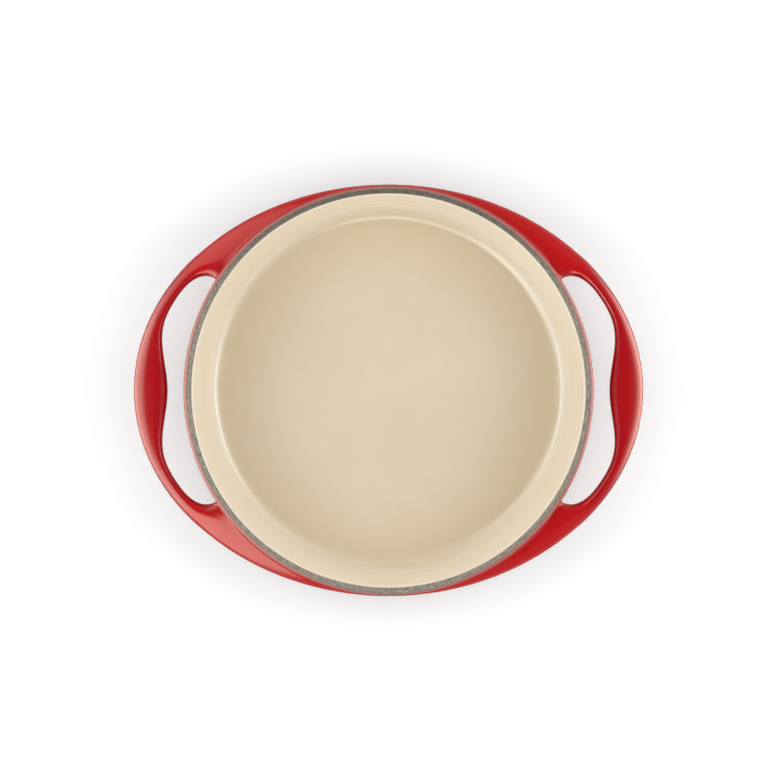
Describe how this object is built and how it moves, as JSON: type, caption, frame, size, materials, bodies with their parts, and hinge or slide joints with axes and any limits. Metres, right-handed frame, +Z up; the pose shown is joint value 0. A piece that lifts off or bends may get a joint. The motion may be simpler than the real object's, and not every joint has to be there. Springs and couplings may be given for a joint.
{
  "type": "tarte tatin pan",
  "caption": "Shallow round enamelled cast-iron baking pan with a flared wall, a flat rim and wide loop handles that run into the rim on either side.",
  "frame": {"origin": "centre of the flat underside, where the pan stands", "axes": "+X along the handles, towards the right one in the picture; +Z up, out of the mouth"},
  "size_m": [0.3234, 0.2612, 0.051],
  "materials": {
    "cast_iron": "as-cast grey iron, hidden under the enamel",
    "red_enamel": "gloss vitreous enamel, deep red",
    "sand_enamel": "gloss vitreous enamel, pale sand",
    "rim_ground_coat": "matt grey ground coat with dark specks",
    "base_ground_coat": "satin black ground coat"
  },
  "bodies": {
    "root": {"pan_casting": "cast_iron", "exterior_enamel": "red_enamel", "interior_enamel": "sand_enamel", "rim_enamel": "rim_ground_coat", "base_enamel": "base_ground_coat"}
  },
  "joints": []
}
